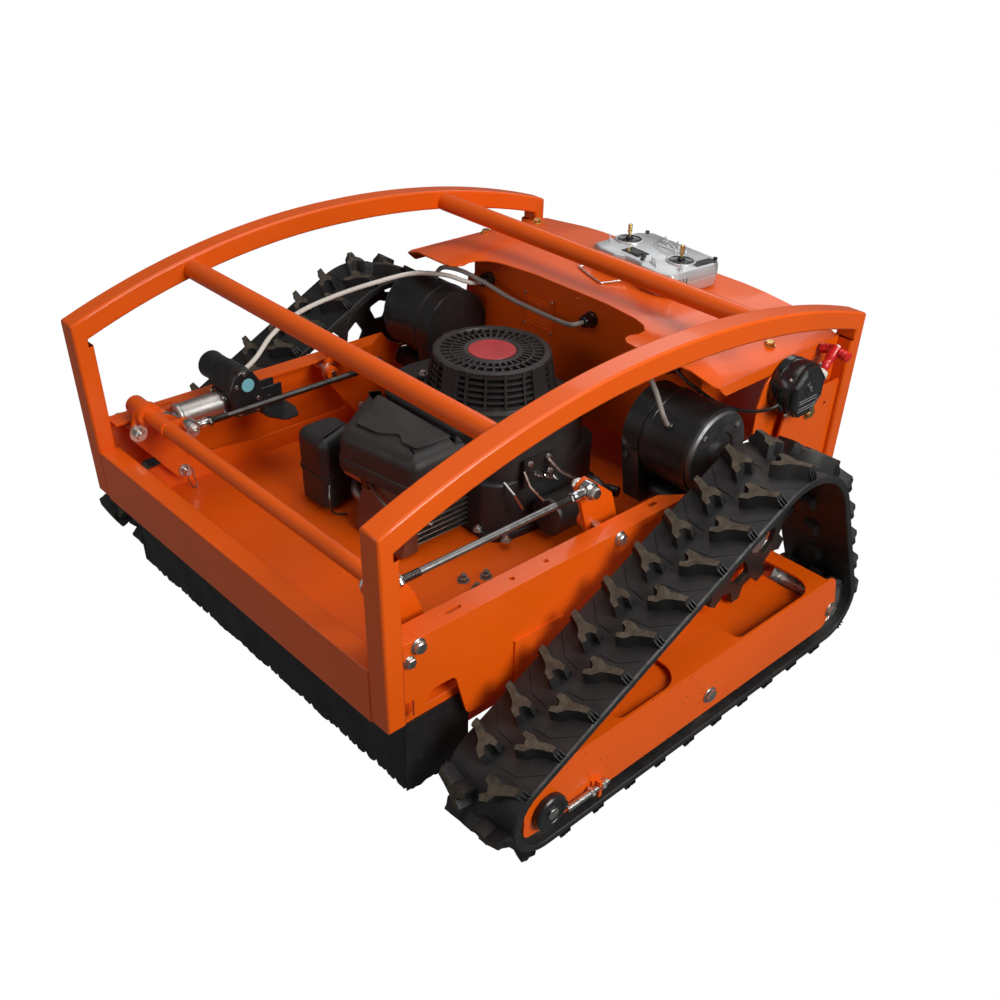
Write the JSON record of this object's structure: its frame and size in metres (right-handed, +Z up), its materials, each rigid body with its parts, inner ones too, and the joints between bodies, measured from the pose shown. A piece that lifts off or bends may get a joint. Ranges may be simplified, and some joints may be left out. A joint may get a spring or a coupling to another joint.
{
  "type": "tracked slope mower chassis",
  "caption": "Remote-controlled tracked mower: welded cage chassis, triangular rubber track units, lifting blade deck with engine on parallel cranks, electric drive and control box.",
  "frame": {"origin": "on the ground, in the middle of the machine's length and width", "axes": "+X to the machine's side with the recoil starter, +Y to the rear, +Z up"},
  "size_m": [1.23, 1.078, 0.638],
  "materials": {
    "orange_coat": "glossy powder coat",
    "track_rubber": "matt moulded rubber",
    "zinc_steel": "zinc plated",
    "black_steel": "satin black",
    "rod_steel": "turned bar, oiled",
    "motor_black": "satin black",
    "black_plastic": "moulded",
    "cast_block": "dark casting",
    "yellow_zinc": "yellow zinc plate",
    "silver_case": "silver",
    "stick_brass": "turned",
    "red_plastic": "moulded",
    "cable_grey": "sheathed cable"
  },
  "bodies": {
    "chassis": {"actuator_bracket": "black_steel", "anchor_bolts": "yellow_zinc", "arch_left": "orange_coat", "arch_right": "orange_coat", "batteries": "black_plastic", "belt_tensioners": "zinc_steel", "cable_glands": "black_plastic", "control_box": "orange_coat", "control_cables": "cable_grey", "control_lid": "orange_coat", "crossbars": "orange_coat", "drive_motors": "motor_black", "front_beam": "orange_coat", "front_posts": "orange_coat", "gearcases": "motor_black", "motor_controller": "black_plastic", "pivot_bolts": "zinc_steel", "plate_bolts": "zinc_steel", "rear_beam": "orange_coat", "rear_posts": "orange_coat", "recoil_bracket": "orange_coat", "recoil_housing": "black_plastic", "side_plate_left": "orange_coat", "side_plate_right": "orange_coat", "track_belt_left": "track_rubber", "track_belt_right": "track_rubber", "track_frame_left": "orange_coat", "track_frame_right": "orange_coat", "transmitter_case": "silver_case", "wheel_axles": "zinc_steel"},
    "deck": {"mower_deck": "orange_coat", "rubber_skirt": "track_rubber", "engine_block": "cast_block", "blower_housing": "black_plastic", "fan_cover": "black_plastic", "air_filter_cover": "black_plastic", "fuel_canister": "black_plastic", "silencer": "black_steel"},
    "cutter": {"cutter_blade": "black_steel", "blade_spindle": "zinc_steel"},
    "lift_crank": {"lift_crank": "orange_coat"},
    "tie_rod_left": {"tie_rod_left": "rod_steel"},
    "tie_rod_right": {"tie_rod_right": "rod_steel"},
    "rear_crank_left": {"rear_crank_left": "orange_coat"},
    "rear_crank_right": {"rear_crank_right": "orange_coat"},
    "actuator": {"actuator": "black_plastic"},
    "actuator_rod": {"actuator_rod": "zinc_steel"},
    "pull_handle": {"pull_handle": "red_plastic"},
    "stick_left": {"stick_left": "stick_brass"},
    "stick_right": {"stick_right": "stick_brass"},
    "drive_left": {"sprocket_left": "black_steel", "drive_shaft_left": "zinc_steel"},
    "idler_left": {"idler_left": "zinc_steel"},
    "mid_wheel_left": {"mid_wheel_left": "zinc_steel"},
    "rear_wheel_left": {"rear_wheel_left": "zinc_steel"},
    "drive_right": {"sprocket_right": "black_steel", "drive_shaft_right": "zinc_steel"},
    "idler_right": {"idler_right": "zinc_steel"},
    "mid_wheel_right": {"mid_wheel_right": "zinc_steel"},
    "rear_wheel_right": {"rear_wheel_right": "zinc_steel"}
  },
  "joints": [
    {"name": "lift", "type": "hinge", "parent": "chassis", "child": "lift_crank", "pos_m": [0, -0.477, 0.338], "axis": [1, 0, 0], "range_deg": [0, 35]},
    {"name": "deck_link", "type": "hinge", "parent": "lift_crank", "child": "deck", "pos_m": [0, -0.405, 0.237], "axis": [1, 0, 0], "range_deg": [-35, 0]},
    {"name": "tie_rod_left_pivot", "type": "hinge", "parent": "lift_crank", "child": "tie_rod_left", "pos_m": [-0.266, -0.423, 0.367], "axis": [1, 0, 0], "range_deg": [-35, 0]},
    {"name": "rear_crank_left_pivot", "type": "hinge", "parent": "chassis", "child": "rear_crank_left", "pos_m": [-0.36, -0.074, 0.338], "axis": [1, 0, 0], "range_deg": [0, 35]},
    {"name": "tie_rod_right_pivot", "type": "hinge", "parent": "lift_crank", "child": "tie_rod_right", "pos_m": [0.373, -0.505, 0.414], "axis": [1, 0, 0], "range_deg": [-35, 0]},
    {"name": "rear_crank_right_pivot", "type": "hinge", "parent": "chassis", "child": "rear_crank_right", "pos_m": [0.36, -0.074, 0.338], "axis": [1, 0, 0], "range_deg": [0, 35]},
    {"name": "blade_spin", "type": "hinge", "parent": "deck", "child": "cutter", "pos_m": [-0.005, 0.039, 0.13], "axis": [0, 0, 1], "continuous": true},
    {"name": "actuator_tilt", "type": "hinge", "parent": "chassis", "child": "actuator", "pos_m": [-0.325, -0.239, 0.35], "axis": [1, 0, 0], "range_deg": [-6.6, 0]},
    {"name": "actuator_extend", "type": "slide", "parent": "actuator", "child": "actuator_rod", "axis": [0, -1, 0], "range_m": [0, 0.0249]},
    {"name": "drive_left_spin", "type": "hinge", "parent": "chassis", "child": "drive_left", "pos_m": [-0.5, 0.158, 0.285], "axis": [1, 0, 0], "continuous": true},
    {"name": "idler_left_spin", "type": "hinge", "parent": "chassis", "child": "idler_left", "pos_m": [-0.53, -0.389, 0.096], "axis": [1, 0, 0], "continuous": true},
    {"name": "mid_wheel_left_spin", "type": "hinge", "parent": "chassis", "child": "mid_wheel_left", "pos_m": [-0.53, -0.016, 0.094], "axis": [1, 0, 0], "continuous": true},
    {"name": "rear_wheel_left_spin", "type": "hinge", "parent": "chassis", "child": "rear_wheel_left", "pos_m": [-0.53, 0.337, 0.094], "axis": [1, 0, 0], "continuous": true},
    {"name": "drive_right_spin", "type": "hinge", "parent": "chassis", "child": "drive_right", "pos_m": [0.5, 0.158, 0.285], "axis": [1, 0, 0], "continuous": true},
    {"name": "idler_right_spin", "type": "hinge", "parent": "chassis", "child": "idler_right", "pos_m": [0.53, -0.389, 0.096], "axis": [1, 0, 0], "continuous": true},
    {"name": "mid_wheel_right_spin", "type": "hinge", "parent": "chassis", "child": "mid_wheel_right", "pos_m": [0.53, -0.016, 0.094], "axis": [1, 0, 0], "continuous": true},
    {"name": "rear_wheel_right_spin", "type": "hinge", "parent": "chassis", "child": "rear_wheel_right", "pos_m": [0.53, 0.337, 0.094], "axis": [1, 0, 0], "continuous": true},
    {"name": "starter_pull", "type": "slide", "parent": "chassis", "child": "pull_handle", "axis": [0.9406, 0.2401, 0.2401], "range_m": [0, 0.05], "stiffness_N_per_m": 60},
    {"name": "stick_left_tilt", "type": "hinge", "parent": "chassis", "child": "stick_left", "pos_m": [-0.02735, 0.41096, 0.5893], "axis": [0.9962, -0.0872, 0], "range_deg": [-22, 22], "stiffness_Nm_per_rad": 0.02},
    {"name": "stick_right_tilt", "type": "hinge", "parent": "chassis", "child": "stick_right", "pos_m": [0.11212, 0.39876, 0.5893], "axis": [0.9962, -0.0872, 0], "range_deg": [-22, 22], "stiffness_Nm_per_rad": 0.02}
  ],
  "couplings": [
    {"joint": "deck_link", "follows": "lift", "ratio": -1},
    {"joint": "tie_rod_left_pivot", "follows": "lift", "ratio": -1},
    {"joint": "rear_crank_left_pivot", "follows": "lift", "ratio": 1},
    {"joint": "idler_left_spin", "follows": "drive_left_spin", "ratio": 2.3621},
    {"joint": "mid_wheel_left_spin", "follows": "drive_left_spin", "ratio": 2.4464},
    {"joint": "rear_wheel_left_spin", "follows": "drive_left_spin", "ratio": 2.4464},
    {"joint": "tie_rod_right_pivot", "follows": "lift", "ratio": -1},
    {"joint": "rear_crank_right_pivot", "follows": "lift", "ratio": 1},
    {"joint": "idler_right_spin", "follows": "drive_right_spin", "ratio": 2.3621},
    {"joint": "mid_wheel_right_spin", "follows": "drive_right_spin", "ratio": 2.4464},
    {"joint": "rear_wheel_right_spin", "follows": "drive_right_spin", "ratio": 2.4464},
    {"joint": "actuator_tilt", "follows": "lift", "ratio": -0.1775},
    {"joint": "actuator_extend", "follows": "lift", "m_per_rad": 0.039}
  ]
}
